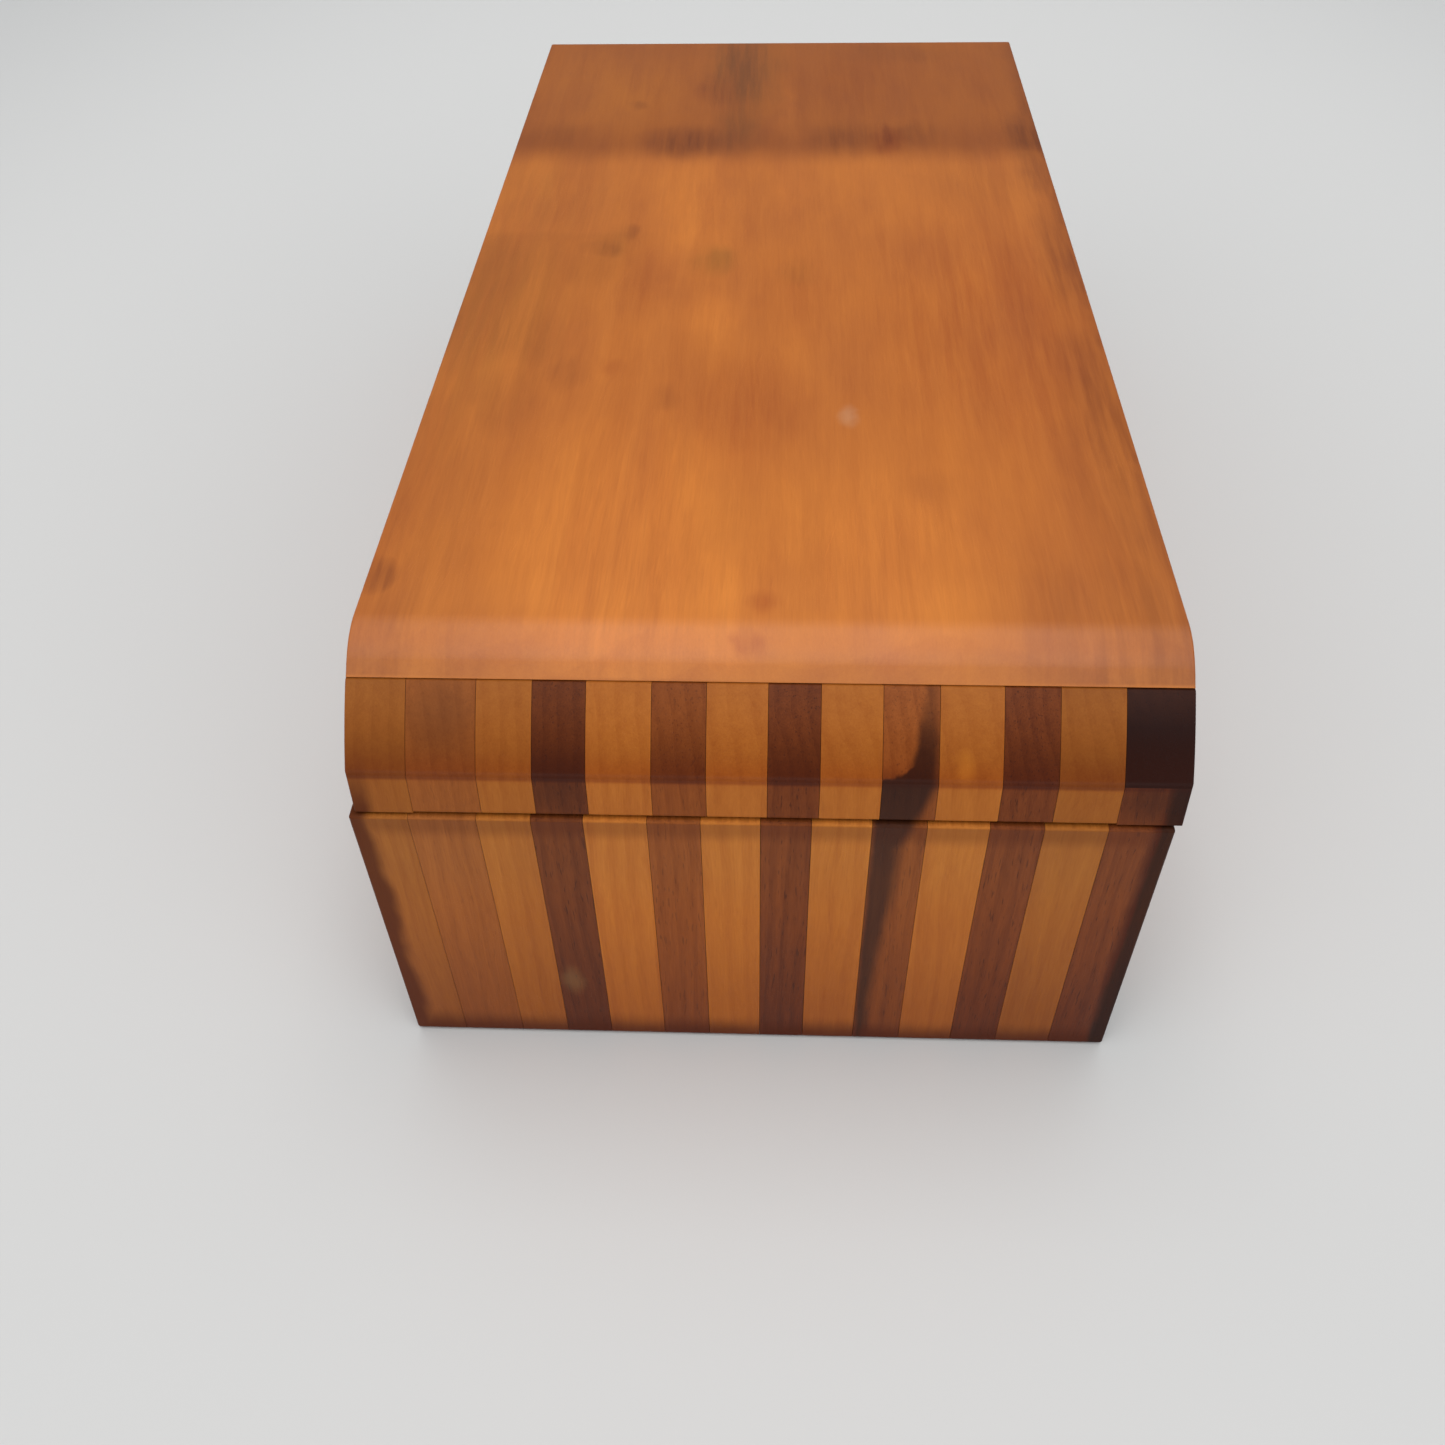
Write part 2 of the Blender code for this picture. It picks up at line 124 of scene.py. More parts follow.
# The room: the directions of its lit side, of the viewer and of the far side, then how near a
# direction lies to each, as the cosine of the angle between them, where its light changes
ROOM = Vector((0, -0.97, 0.25)).normalized()
VIEWER = Vector((0, -0.79, 0.61)).normalized()
BEYOND = Vector((0, 0.96, 0.28)).normalized()
ROOM_RISE, room_light, room_shade = (0.1, 0.95), 1.4, 0.4
VIEWER_RISE, viewer_shadow = (0.8, 0.96), 0.85
BEYOND_LIGHT = ((0.7, 0.95), (1.0, 0.45))
ABOVE_RISE, SIDEWAYS_FALL, above_light = (0.62, 0.88), (0.5, 0.3), 0.85
seen_strength = 0.53


def linear(value):
    """One sRGB channel, 0 to 255, as the linear value that a shader takes."""
    share = value / 255
    if share <= 0.04045:
        return share / 12.92
    return ((share + 0.055) / 1.055) ** 2.4


def shade(red, green, blue):
    return (linear(red), linear(green), linear(blue), 1)


# Patterns: how large their lumps are along x, y and z, in millimetres, then the levels of detail
# and the roughness. The wood's are given with the grain along z
CLOUDS = ((9, 9, 26), 3, 0.55)
STREAKS = ((2.6, 2.6, 55), 3, 0.6)
FIBRES = ((0.55, 0.55, 16), 4, 0.62)
FINE_FIBRES = ((0.16, 0.16, 3.5), 2, 0.6)
PORES = ((0.22, 0.22, 2.4), 1)
SOAKING = ((1.3, 22, 8), 3, 0.6)
RAGGED_EDGE = ((5, 5, 9), 3)
SAW_ACROSS = ((0.5, 30, 10), 2, 0.7)
SAW_ALONG = ((30, 0.5, 10), 2, 0.7)
SCRATCH_PATCHES = ((14, 14, 14), 2)
SCRATCHES = ((0.14, 9, 0.14), 1)
TARNISH = ((3.5, 3.5, 3.5), 4, 0.6)
DIRT = ((0.5, 0.5, 0.5), 3, 0.6)

# How places are moved about before a pattern is drawn: the lumps and the reach, in millimetres
WOOD_BEND = ((22, 22, 90), (7, 7, 0))
WEDGE_WAVER = ((2.5, 2.5, 9), (1.0, 0, 2.0))
LAST_STRIP_WAVER = ((2, 2, 8), (0.8, 0, 0))
FRONT_MARK_WAVER = ((2.5, 2.5, 2.5), (1.4, 0, 1.6))
TOP_SPOT_WAVER = ((7, 9, 7), (5, 6, 0))
TOP_BAND_WAVER = ((5, 60, 60), (0, 2.6, 0))
FLECK_WAVER = ((1.5, 1.5, 1.5), (1.2, 1.2, 0))

# Where in its noise or its share of a ring a pattern begins and where it is full
LATE_WOOD_START = (0.25, 0.88)
LATE_WOOD_END = (1.0, 0.93)
PORE_LIMITS = (0.62, 0.74)
SPOT_LIMITS = (1.0, 0.15)
SCRATCH_PATCH_LIMITS = (0.5, 0.62)
SCRATCH_LIMITS = (0.70, 0.76)
SAW_LIMITS = (0.35, 0.65)
SOAKING_LIMITS = (0.3, 0.7)
TARNISH_LIMITS = (0.3, 0.75)
DIRT_LIMITS = (0.55, 0.8)
middle_tone = 0.45

# The turn and the shift of each of the three sets of scratches
SCRATCH_SETS = ((0.35, 11), (-0.7, 47), (1.35, 83))

# Where the inside, the sawn rims and the edges with painted shade begin and end, in millimetres
# from the face that they lie by or in height, and how far their ends wander
skin_start, skin_end = 0.3, 0.15
UNDERSIDE_END = (1.0, 2.0)
SAWN_END = (0.3, 0.2)
CORNER_END = (3.0, 1.2)
CORNER_TOP = (crease_z + 3.5, body_rim)
BASE_END = (5.5, 0.8)
JOINT_START = (0.25, 0.6)
JOINT_END = (4.0, 1.6)
edge_wander = 2.2
joint_wander = 0.4

# A reach that goes right through the box, in millimetres
through = 1000


# Laying nodes


class Graph:
    """Lays nodes in a tree. A value that is a socket is linked, and any other value is set."""

    def __init__(self, tree):
        self.tree = tree

    def put(self, socket, value):
        if isinstance(value, bpy.types.NodeSocket):
            self.tree.links.new(value, socket)
        else:
            socket.default_value = value

    def add(self, kind, values=None, **settings):
        node = self.tree.nodes.new(kind)
        for key, value in settings.items():
            setattr(node, key, value)
        for key, value in (values or {}).items():
            self.put(node.inputs[key], value)
        return node

    def math(self, operation, first, second=0.0, clamp=False):
        values = {0: first, 1: second}
        return self.add("ShaderNodeMath", values, operation=operation, use_clamp=clamp).outputs[0]

    def vector(self, operation, first, second=(0, 0, 0)):
        node = self.add("ShaderNodeVectorMath", {0: first, 1: second}, operation=operation)
        lone = operation in ("LENGTH", "DISTANCE", "DOT_PRODUCT")
        return node.outputs["Value" if lone else "Vector"]

    def step(self, value, start, end):
        """0 before start and 1 after end, smooth between them. End may be below start."""
        values = {"Value": value, "From Min": start, "From Max": end}
        return self.add("ShaderNodeMapRange", values, interpolation_type="SMOOTHSTEP").outputs[0]

    def spread(self, value, low, high):
        """A value from 0 to 1 spread between low and high."""
        return self.ramp(value, (0, 1), (low, high))

    def ramp(self, value, span, ends):
        """A straight run between two ends over a span, level before and after it."""
        values = {"Value": value, "From Min": span[0], "From Max": span[1]}
        values.update({"To Min": ends[0], "To Max": ends[1]})
        return self.add("ShaderNodeMapRange", values).outputs[0]

    def mix(self, share, first, second, blend="MIX"):
        values = {0: share, 6: first, 7: second}
        return self.add("ShaderNodeMix", values, data_type="RGBA", blend_type=blend).outputs[2]

    def noise(self, place, stretch, detail=2.0, roughness=0.5):
        """Noise whose lumps are about stretch (x, y, z) millimetres in size."""
        scaled = self.vector("DIVIDE", place, stretch)
        values = {"Vector": scaled, "Scale": 1.0, "Detail": detail, "Roughness": roughness}
        return self.add("ShaderNodeTexNoise", values)

    def turned(self, place, rotation, location):
        values = {"Vector": place, "Rotation": rotation, "Location": location}
        return self.add("ShaderNodeMapping", values).outputs[0]

    def millimetres(self):
        """Object coordinates in millimetres."""
        ground = self.add("ShaderNodeTexCoord").outputs["Object"]
        return self.vector("DIVIDE", ground, (MM, MM, MM))

    def apart(self, place):
        return self.add("ShaderNodeSeparateXYZ", {0: place}).outputs

    def tint(self, share, colour, tint):
        """A colour multiplied by a tint where share is 1. A tint above 1 makes it lighter."""
        return self.mix(share, colour, (*tint, 1), "MULTIPLY")

    def waver(self, place, stretch, reach):
        """A place moved about by up to half of reach, in lumps of about stretch millimetres."""
        lumps = self.noise(place, stretch, 3).outputs["Color"]
        centred = self.vector("SUBTRACT", lumps, (0.5, 0.5, 0.5))
        return self.vector("ADD", place, self.vector("MULTIPLY", centred, reach))

    def group(self, tree, values):
        node = self.add("ShaderNodeGroup", node_tree=tree)
        for key, value in values.items():
            self.put(node.inputs[key], value)
        return node.outputs


def new_group(name, inputs, outputs):
    tree = bpy.data.node_groups.new(name, "ShaderNodeTree")
    for label, kind in inputs:
        tree.interface.new_socket(name=label, in_out="INPUT", socket_type="NodeSocket" + kind)
    for label, kind in outputs:
        tree.interface.new_socket(name=label, in_out="OUTPUT", socket_type="NodeSocket" + kind)
    graph = Graph(tree)
    return graph, graph.add("NodeGroupInput").outputs, graph.add("NodeGroupOutput").inputs


# Effects that several finishes share


def make_wood_group():
    """Wood with its grain along Z: growth rings round a far pith, fibres, pores and clouds."""
    graph, given, made = new_group(
        "wood_figure",
        [
            ("Place", "Vector"),
            ("Pale", "Color"),
            ("Deep", "Color"),
            ("Pore", "Color"),
            ("Pith", "Vector"),
            ("Ring Width", "Float"),
            ("Ring Share", "Float"),
            ("Streak Share", "Float"),
            ("Fibre Share", "Float"),
            ("Pore Share", "Float"),
            ("Cloud Share", "Float"),
        ],
        [("Color", "Color"), ("Height", "Float"), ("Cloud", "Float")],
    )
    place = given["Place"]
    bent = graph.waver(place, *WOOD_BEND)
    flat = graph.vector("MULTIPLY", graph.vector("SUBTRACT", bent, given["Pith"]), (1, 1, 0))
    turns = graph.math("DIVIDE", graph.vector("LENGTH", flat), given["Ring Width"])
    ring = graph.math("FRACT", turns)
    late = graph.step(ring, *LATE_WOOD_START)
    late = graph.math("MULTIPLY", late, graph.step(ring, *LATE_WOOD_END))
    streaks = graph.noise(bent, *STREAKS).outputs["Fac"]
    fibres = graph.noise(bent, *FIBRES).outputs["Fac"]
    fine = graph.noise(bent, *FINE_FIBRES).outputs["Fac"]
    pores = graph.step(graph.noise(bent, *PORES).outputs["Fac"], *PORE_LIMITS)
    cloud = graph.noise(place, *CLOUDS).outputs["Fac"]
    deep = graph.math("MULTIPLY", late, given["Ring Share"])
    parts = (
        (streaks, "Streak Share"),
        (fibres, "Fibre Share"),
        (fine, "Fibre Share"),
        (cloud, "Cloud Share"),
    )
    for part, share in parts:
        centred = graph.math("MULTIPLY", graph.math("SUBTRACT", part, 0.5), given[share])
        deep = graph.math("ADD", deep, centred)
    deep = graph.math("ADD", deep, middle_tone, clamp=True)
    colour = graph.mix(deep, given["Pale"], given["Deep"])
    colour = graph.mix(graph.math("MULTIPLY", pores, given["Pore Share"]), colour, given["Pore"])
    threads = [graph.math("MULTIPLY", part, 0.5) for part in (fibres, fine)]
    height = graph.math("ADD", *threads)
    height = graph.math("SUBTRACT", height, graph.math("MULTIPLY", pores, given["Pore Share"]))
    graph.put(made["Color"], colour)
    graph.put(made["Height"], height)
    graph.put(made["Cloud"], cloud)
    return graph.tree


def make_places_group():
    """Where a point of the box lies: inside it, on a sawn rim, or by an outer edge."""
    graph, given, made = new_group(
        "box_places",
        [("Place", "Vector"), ("Ragged", "Float")],
        [(label, "Float") for label in ("Inside", "Sawn", "Corner", "Base", "Joint")],
    )
    x, y, z = graph.apart(given["Place"])
    middle = (body_rim + lid_rim) / 2
    on_lid = graph.math("GREATER_THAN", z, middle)
    shifted = graph.math("SUBTRACT", x, graph.math("MULTIPLY", on_lid, lid_shift))
    across = graph.math("ABSOLUTE", shifted)
    inside = graph.step(across, inner_half_width + skin_start, inner_half_width + skin_end)
    limits = (
        (y, inner_front - skin_start, inner_front - skin_end),
        (y, inner_rear + skin_start, inner_rear + skin_end),
        (z, *UNDERSIDE_END),
        (z, seam_z + skin_start, seam_z + skin_end),
    )
    for value, start, end in limits:
        inside = graph.math("MULTIPLY", inside, graph.step(value, start, end))
    away = graph.math("ABSOLUTE", graph.math("SUBTRACT", z, middle))
    sawn = graph.step(away, *SAWN_END)
    rough = graph.math("MULTIPLY", graph.math("SUBTRACT", given["Ragged"], 0.5), edge_wander)
    from_side = graph.math("ABSOLUTE", graph.math("SUBTRACT", half_width, across))
    from_front = graph.math("ABSOLUTE", graph.math("SUBTRACT", y, front_y))
    from_rear = graph.math("ABSOLUTE", graph.math("SUBTRACT", rear_y, y))
    from_end = graph.math("MINIMUM", from_front, from_rear)
    corner = graph.math("ADD", graph.math("MAXIMUM", from_side, from_end), rough)
    graph.put(made["Inside"], inside)
    graph.put(made["Sawn"], sawn)
    # Corner, Base and Joint are where painted shade goes: the rounded corners, the base, and the
    # body just under the lid
    low = graph.step(z, *CORNER_TOP)
    graph.put(made["Corner"], graph.math("MULTIPLY", graph.step(corner, *CORNER_END), low))
    graph.put(made["Base"], graph.step(graph.math("ADD", z, rough), *BASE_END))
    near = graph.math("ADD", away, graph.math("MULTIPLY", rough, joint_wander))
    under = graph.step(near, *JOINT_END)
    under = graph.math("MULTIPLY", under, graph.step(away, *JOINT_START))
    graph.put(made["Joint"], graph.math("MULTIPLY", under, graph.spread(on_lid, 1.0, 0.0)))
    return graph.tree


def make_spot_group():
    """A soft oval spot, 1 in its middle and 0 past its reach."""
    graph, given, made = new_group(
        "soft_spot",
        [("Place", "Vector"), ("Centre", "Vector"), ("Reach", "Vector")],
        [("Mask", "Float")],
    )
    apart = graph.vector("SUBTRACT", given["Place"], given["Centre"])
    far = graph.vector("LENGTH", graph.vector("DIVIDE", apart, given["Reach"]))
    graph.put(made["Mask"], graph.step(far, *SPOT_LIMITS))
    return graph.tree


def make_scratch_group():
    """Sparse fine scratches, in three directions and only in patches, as handling leaves them."""
    graph, given, made = new_group("fine_scratches", [("Place", "Vector")], [("Mask", "Float")])
    patches = graph.noise(given["Place"], *SCRATCH_PATCHES).outputs["Fac"]
    patches = graph.step(patches, *SCRATCH_PATCH_LIMITS)
    mask = 0.0
    for turn, shift in SCRATCH_SETS:
        turned = graph.turned(given["Place"], [turn] * 3, [shift] * 3)
        lines = graph.step(graph.noise(turned, *SCRATCHES).outputs["Fac"], *SCRATCH_LIMITS)
        mask = graph.math("MAXIMUM", mask, lines)
    graph.put(made["Mask"], graph.math("MULTIPLY", mask, patches))
    return graph.tree


wood_group = make_wood_group()
places_group = make_places_group()
spot_group = make_spot_group()
scratch_group = make_scratch_group()


# Woods: the pale, deep and pore colours, then the ring width in millimetres and the shares of
# rings, streaks, fibres, pores and clouds in the figure
AMBER = (
    (shade(206, 122, 51), shade(170, 90, 35), shade(122, 62, 30)),
    (3.4, 0.1, 0.42, 0.32, 0.04, 1.0),
)
LIGHT = (
    (shade(198, 117, 40), shade(164, 86, 24), shade(112, 56, 18)),
    (2.1, 0.15, 0.5, 0.6, 0.1, 0.6),
)
BROWN = (
    (shade(166, 93, 34), shade(130, 66, 20), shade(92, 46, 18)),
    (1.8, 0.15, 0.6, 0.6, 0.2, 0.6),
)
DARK = (
    (shade(130, 64, 22), shade(88, 37, 10), shade(46, 18, 6)),
    (1.6, 0.2, 0.5, 0.7, 0.5, 0.5),
)
REDDISH = (
    (shade(154, 81, 28), shade(118, 55, 14), shade(66, 28, 8)),
    (1.7, 0.2, 0.5, 0.7, 0.4, 0.5),
)
WALL = (
    (shade(178, 100, 36), shade(134, 68, 22), shade(80, 40, 16)),
    (2.8, 0.2, 0.7, 0.9, 0.3, 0.9),
)
PLAIN = (
    (shade(200, 152, 98), shade(168, 116, 70), shade(120, 82, 50)),
    (3.0, 0.2, 0.6, 0.5, 0.1, 0.6),
)

# The strips from left to right: the wood, its tone as a share of full brightness, and how much
# painted shade darkens the nose above the crease
STRIPS = (
    (LIGHT, 0.70, 0.42),
    (BROWN, 1.02, 0.34),
    (LIGHT, 0.82, 0.3),
    (DARK, 0.9, 0.75),
    (LIGHT, 1.0, 0.3),
    (REDDISH, 1.0, 0.55),
    (LIGHT, 0.98, 0.26),
    (DARK, 1.04, 0.65),
    (LIGHT, 0.94, 0.26),
    (REDDISH, 0.9, 0.28),
    (LIGHT, 0.93, 0.28),
    (DARK, 1.07, 0.6),
    (LIGHT, 0.72, 0.42),
    (DARK, 1.05, 0.3),
)

# Painted shade for the edges and above the crease, bare wood, brass, the floor near the box and far
# from it, and the room's light
EDGE_SHADE = shade(74, 26, 8)
CREASE_SHADE = shade(60, 22, 8)
BARE_WOOD = shade(232, 206, 170)
HEARTWOOD = shade(36, 14, 8)
FLECK_COLOUR = shade(204, 168, 136)
BRASS = shade(186, 146, 78)
TARNISHED_BRASS = shade(150, 112, 60)
GRIME = shade(84, 60, 34)
NEAR_FLOOR = shade(212, 211, 209)
SHADED_FAR_FLOOR = shade(188, 188, 187)
SKY = (0.96, 0.98, 1.0, 1)

# The varnish: its dullness and its gloss from the palest to the darkest cloud, what bare wood
# adds to the dullness, the wood's own sheen, and the grain's depth in millimetres
DULLNESS = (0.26, 0.36)
GLOSS = (0.4, 1.6)
bare_dullness = 0.28
coat_dullness = 0.28
wood_sheen = 0.1
grain_depth = 0.04
grain_strength = 0.35
strip_coat, nose_coat, NOSE_COAT_FALL = 0.11, 0.04, (54.5, 51)
top_coat = 0.4
board_coat = 0.2

# Painted shade on the edges, bare insides, saw marks and scratches: the share to which each shows,
# its tint and its depth as a share of the grain's
edge_shade_share = 0.85
joint_shade_share = 0.4
shaded_edge_wear = 0.8
bare_share, bare_lightness = 0.35, 0.55
saw_share, SAW_TINT, saw_depth = 0.5, (0.62, 0.58, 0.55), 1.2
scratch_share, SCRATCH_TINT, scratch_depth = 0.3, (1.25, 1.25, 1.3), 0.8

# The brass: how far it is dirty, and its dullness from the cleanest to the most tarnished
dirt_share = 0.5
BRASS_DULLNESS = (0.24, 0.5)

# Tints of the front's strips, as shares of red, green and blue, and the heights that they cover:
# none at the first and full at the second. The nose's, the band's and the upper body's tints are
# painted reflection, the crease line and the shade above the crease are painted shade, and the low
# tint makes the front darker towards the bottom
LID_TINT = (0.85, 0.81, 0.88)
NOSE_REFLECTION, NOSE_RISE = (0.95, 1.02, 1.22), (50, 55)
BAND_REFLECTION, BAND_FALL = (1.03, 1.1, 1.17), (crease_z - 0.2, crease_z - 1.2)
HIGH_REFLECTION, HIGH_RISE = (1.03, 1.13, 1.42), (24, 38)
LOW_TINT, LOW_TINT_ON_DARK, LOW_FALL = (0.73, 0.64, 0.5), (0.64, 0.5, 0.3), (30, 3)
CREASE_LINE_TINT, CREASE_LINE_END = (0.95, 0.81, 0.68), (crease_z + 2.6, crease_z + 0.3)
CREASE_SHADE_START, CREASE_SHADE_END = (crease_z - 0.7, crease_z - 0.2), (seam_z - 1.0, crease_z + 0.4)

# Tints of the top board, and the places along its length or width that they cover in the same way.
# The tints just before and on the nose are painted highlight
REAR_TINT, REAR_START = (0.70, 0.66, 0.64), (34.8, 45.0)
REAR_EDGE_TINT, REAR_EDGE_END = (0.91, 0.88, 0.90), (56.0, 45.0)
BEFORE_NOSE_HIGHLIGHT, BEFORE_NOSE_START, BEFORE_NOSE_END = (1.07, 1.1, 1.13), (-68, -76), (-82, -78)
ON_NOSE_HIGHLIGHT, ON_NOSE_START = (0.92, 0.98, 1.1), (-80.5, -83.5)
# A faint darker band on the left of the top board
LEFT_BAND_TINT, LEFT_BAND_START, LEFT_BAND_END = (0.92, 0.91, 0.9), (12.8, 10.2), (-24, 2)
LEFT_BAND_SIDE = (-14, -22)
RIGHT_TINT, RIGHT_START = (0.91, 0.9, 0.92), (39, 41.5)
RIGHT_ARRIS_START, RIGHT_ARRIS_SHARES = (43.4, 44.6), (0.65, 1)
OUTER_START = (seam_z + 0.1, seam_z + 0.4)
SOAKED_SHARES = (0.55, 1.3)

# The heartwood wedge and its strip. Its edges are runs of height and of places across the box,
# each added to the one before it. Then come how soft they are, and the runs of its strength
wedge_strip = 10
WEDGE_LEFT = (((crease_z, crease_z + 1.3), (12.4, 16.0)), ((crease_z + 1.3, 55), (0, 1.4)))
WEDGE_RIGHT = (((8, 38), (13.9, 15.5)), ((39, 48.7), (0, 3.3)))
WEDGE_LEFT_SOFTNESS = (-0.5, 0.6)
WEDGE_RIGHT_SOFTNESS = (-0.9, 0.9)
WEDGE_STRENGTH = ((34, 48), (0.77, 0.88))
WEDGE_FADE, wedge_fade_share = (51.0, 55.5), 0.5
BY_WEDGE_TINT, BY_WEDGE_RISE, by_wedge_share = (1.5, 1.6, 1.7), (crease_z, crease_z + 2), 0.8

# The dark last strip: its strength up the nose, and where its outer edge is dark below the nose, as
# painted shade at the corner
last_strip = 14
LAST_NOSE_STRENGTH = ((53.5, 56.5), (0.98, 0.8))
LAST_EDGE = ((body_rim, lid_rim), (41.7, 42.4))
LAST_EDGE_SOFTNESS, last_edge_share = (0, 1.4), 0.85

# Marks on the top board, a tint and its spots: x, y, reach along x and y, and strength
TOP_PALE = (
    (1.22, 1.26, 1.2),
    (
        (-12, 20, 10, 32, 0.45),
        (-13, -66, 24, 38, 1.0),
        (15, -66, 16, 24, 0.75),
        (3, 26, 4.5, 15, 0.4),
        (-8, -13, 7, 11, 0.5),
        (12.5, 42, 2, 6, 0.7),
        (-34, 68, 22, 30, 0.95),
        (2.6, 59, 2.6, 20, 0.6),
    ),
)
TOP_RED = (
    (0.72, 0.56, 0.58),
    (
        (-11, 68, 5, 10, 0.3),
        (19.5, 46, 4, 9, 0.8),
        (-17, -3, 3.5, 16, 0.35),
        (-2, -37, 12, 20, 0.45),
        (4, -8, 8, 21, 0.35),
        (-21, -27, 2.6, 3.2, 0.35),
        (32, -15, 26, 52, 0.55),
        (-0.7, -80.6, 2.6, 2.2, 0.8),
        (0.5, -75, 2.6, 2.4, 0.6),
        (15, 72, 20, 26, 0.3),
    ),
)
TOP_OLIVE = (
    (0.74, 0.8, 0.8),
    (
        (-8.5, 3, 4.5, 7, 0.85),
        (4.5, -1, 4, 6, 0.35),
        (-46, -14, 26, 46, 0.6),
        (-38, 24, 20, 30, 0.3),
        (-24, 8, 5, 9, 0.3),
        (-33, 68, 22, 32, 0.3),
    ),
)
TOP_BROWN = (
    (0.60, 0.55, 0.65),
    (
        (-24, 61, 2, 3, 0.4),
        (-15, 45, 11, 9, 0.75),
        (12, 46, 9, 10, 0.7),
        (24, 48, 8, 8, 0.4),
        (44.5, 47, 8, 13, 0.95),
        (45.5, 60, 4, 18, 0.6),
        (19.4, 47, 1.6, 8, 0.5),
        (-21.5, 12, 2.2, 3.6, 0.45),
        (-25, 6.5, 4.2, 3.6, 0.5),
        (-42.6, -70.5, 4.2, 6.5, 1.0),
        (44, -58, 14, 34, 0.35),
        (46.8, 0, 4.4, 250, 0.9),
        (-46, 0, 3.6, 250, 0.3),
        (44, 33, 6, 14, 0.7),
        (44, 4, 6, 28, 0.6),
        (43.5, -52, 3.4, 9, 0.6),
        (-3.5, -60, 7, 14, 0.32),
        (-37, -68, 9, 17, 0.3),
        (-26, 0, 5, 7, 0.3),
        (-38, 48, 10, 8, 0.35),
        (-34, -20, 8, 11, 0.25),
        (-27, -29, 4, 6, 0.3),
        (-34, -36, 6, 11, 0.3),
        (-12.5, -35, 2.6, 4.4, 0.35),
        (45, 3, 4.5, 15, 0.85),
        (45, -36, 11, 30, 0.7),
        (19, -54, 6, 6, 0.2),
        (45, -62, 6, 24, 0.6),
        (45.5, 26, 2.6, 30, 0.6),
        (45.5, -12, 3.0, 14, 0.6),
        (45, -50, 4.0, 26, 0.5),
        (24, 86, 14, 8, 0.3),
        (34, 30, 14, 16, 0.25),
        (-45, -80, 26, 22, 0.45),
        (45, -80, 28, 24, 0.6),
        (-40, -58, 14, 26, 0.3),
    ),
)
TOP_GREY = (
    (0.62, 0.70, 0.95),
    (
        (-6, 78, 9, 32, 0.85),
        (-6, 52, 6, 17, 0.6),
        (-0.5, 82, 4.5, 13, 0.35),
    ),
)
FLECK = (10.5, -38.5, 1.7, 3.3, 0.25)

# Marks on the front: the strip, the centre, the reach, the strength and the colour
FRONT_MARKS = (
    (2, (-33.8, 0, 53.5), (5.5, through, 4.2), 0.32, shade(92, 52, 26)),
    (4, (-22.8, 0, 12.3), (2.0, through, 4.2), 0.4, shade(150, 118, 80)),
    (4, (-21.2, 0, 47.0), (5.0, through, 5.0), 0.4, shade(46, 18, 10)),
    (11, (21.6, 0, 50.1), (1.7, through, 1.9), 0.6, shade(214, 132, 40)),
    (14, (41.5, 0, 47.0), (6.0, through, 5.0), 0.5, shade(40, 15, 9)),
)

# How the grain is turned: upright, from front to back and from side to side
GRAIN_UP = (0, 0, 0)
GRAIN_BACK = (math.pi / 2, 0, 0)
GRAIN_ACROSS = (0, -math.pi / 2, 0)

# Where each board lies in its wood, and where the pith is from there, in millimetres
TOP_PLACE = (11, 7, 0)
SIDES_PLACE = (-60, 31, 0)
BACK_PLACE = (80, -40, 0)
BOTTOM_PLACE = (130, 90, 0)
STRIP_STEP = (41, 23, 17)
BOARD_PITH = (14, 60)
STRIP_PITH = (95, -70)


def new_material(name):
    material = bpy.data.materials.new(name)
    material.use_nodes = True
    material.node_tree.nodes.clear()
    return material, Graph(material.node_tree)


def wood_colour(graph, wood, grain, offset, pith=BOARD_PITH):
    """A wood's colour and height on a board whose grain runs the way that grain turns it."""
    (pale, deep, pore), (ring_width, rings, streaks, fibres, pores, clouds) = wood
    place = graph.millimetres()
    made = graph.group(
        wood_group,
        {
            "Place": graph.turned(place, grain, offset),
            "Pale": pale,
            "Deep": deep,
            "Pore": pore,
            "Pith": (offset[0] + pith[0], offset[1] + pith[1], 0),
            "Ring Width": ring_width,
            "Ring Share": rings,
            "Streak Share": streaks,
            "Fibre Share": fibres,
            "Pore Share": pores,
            "Cloud Share": clouds,
        },
    )
    return place, made


def spot_mask(graph, place, spots):
    """A table of spots on the top board as one mask."""
    mask = 0.0
    for x, y, wide, deep, strength in spots:
        values = {"Place": place, "Centre": (x, y, 0), "Reach": (wide, deep, through)}
        spot = graph.group(spot_group, values)["Mask"]
        mask = graph.math("MAXIMUM", mask, graph.math("MULTIPLY", spot, strength))
    return mask


def varnish(graph, colour, height, cloud, bare, coat):
    """Satin varnish over wood, thin and dull where it is bare."""
    dull = graph.spread(cloud, *DULLNESS)
    dull = graph.math("ADD", dull, graph.math("MULTIPLY", bare, bare_dullness))
    grain = {"Strength": grain_strength, "Distance": grain_depth * MM, "Height": height}
    bump = graph.add("ShaderNodeBump", grain)
    gloss = graph.spread(bare, coat, 0.0)
    gloss = graph.math("MULTIPLY", gloss, graph.spread(cloud, *GLOSS))
    shader = graph.add(
        "ShaderNodeBsdfPrincipled",
        {
            "Base Color": colour,
            "Roughness": dull,
            "Specular IOR Level": wood_sheen,
            "Normal": bump.outputs[0],
            "Coat Weight": gloss,
            "Coat Roughness": coat_dullness,
        },
    )
    graph.add("ShaderNodeOutputMaterial", {"Surface": shader.outputs[0]})


